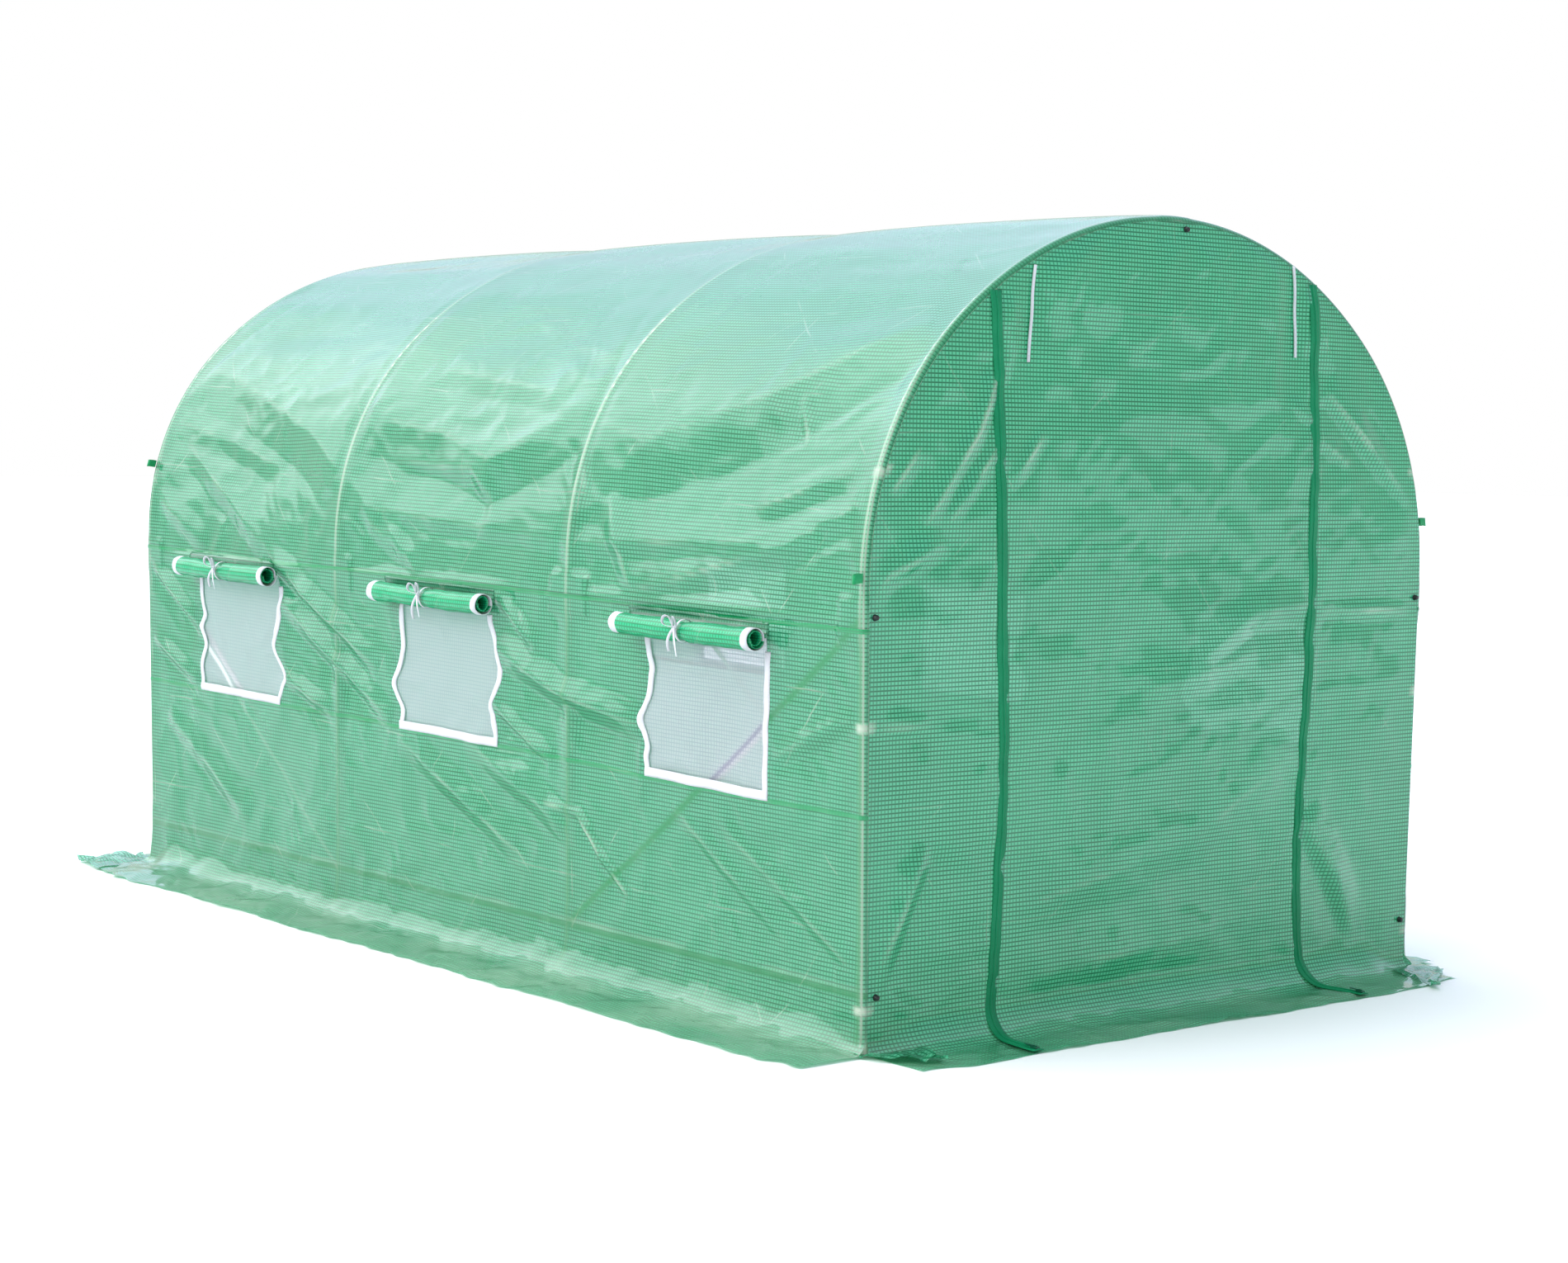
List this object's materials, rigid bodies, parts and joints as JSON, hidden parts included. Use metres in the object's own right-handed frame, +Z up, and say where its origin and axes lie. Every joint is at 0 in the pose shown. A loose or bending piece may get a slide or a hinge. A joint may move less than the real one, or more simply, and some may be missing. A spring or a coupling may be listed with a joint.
{
  "type": "polytunnel greenhouse",
  "caption": "Walk-in polytunnel greenhouse: arched tube frame under a green film cover with skirts, net windows with rolled blinds along both sides and a zipped door.",
  "frame": {"origin": "on the ground, under the middle of the tunnel", "axes": "+X across the tunnel to the right of the zipped end, +Y along the tunnel away from the zipped end, +Z up"},
  "size_m": [2.3924, 3.93, 1.9718],
  "materials": {
    "green_film": "green polyethylene film with a woven scrim",
    "white_tube": "pale coated steel tube",
    "connector": "pale coated steel socket",
    "insect_net": "fine white net",
    "white_binding": "white hook and loop tape",
    "white_tape": "white woven tape",
    "zip": "dark green zip",
    "green_webbing": "green webbing"
  },
  "bodies": {
    "root": {"roof_sheet": "green_film", "rear_sheet": "green_film", "front_left_sheet": "green_film", "front_door": "green_film", "front_right_sheet": "green_film", "left_window_band": "green_film", "left_lower_wall": "green_film", "right_window_band": "green_film", "right_lower_wall": "green_film", "left_blind_1": "green_film", "left_blind_2": "green_film", "left_blind_3": "green_film", "right_blind_1": "green_film", "right_blind_2": "green_film", "right_blind_3": "green_film", "hoop_1": "white_tube", "hoop_2": "white_tube", "hoop_3": "white_tube", "hoop_4": "white_tube", "ridge_purlin": "white_tube", "left_eave_purlin": "white_tube", "left_base_purlin": "white_tube", "right_eave_purlin": "white_tube", "right_base_purlin": "white_tube", "left_front_brace": "white_tube", "left_rear_brace": "white_tube", "right_front_brace": "white_tube", "right_rear_brace": "white_tube", "ridge_connectors": "connector", "left_eave_connectors": "connector", "left_base_connectors": "connector", "right_eave_connectors": "connector", "right_base_connectors": "connector", "left_window_nets": "insect_net", "right_window_nets": "insect_net", "left_window_bindings": "white_binding", "right_window_bindings": "white_binding", "left_blind_ties": "white_tape", "right_blind_ties": "white_tape", "left_door_tie": "white_tape", "right_door_tie": "white_tape", "left_zip": "zip", "right_zip": "zip", "guy_loops": "green_webbing"}
  },
  "joints": []
}
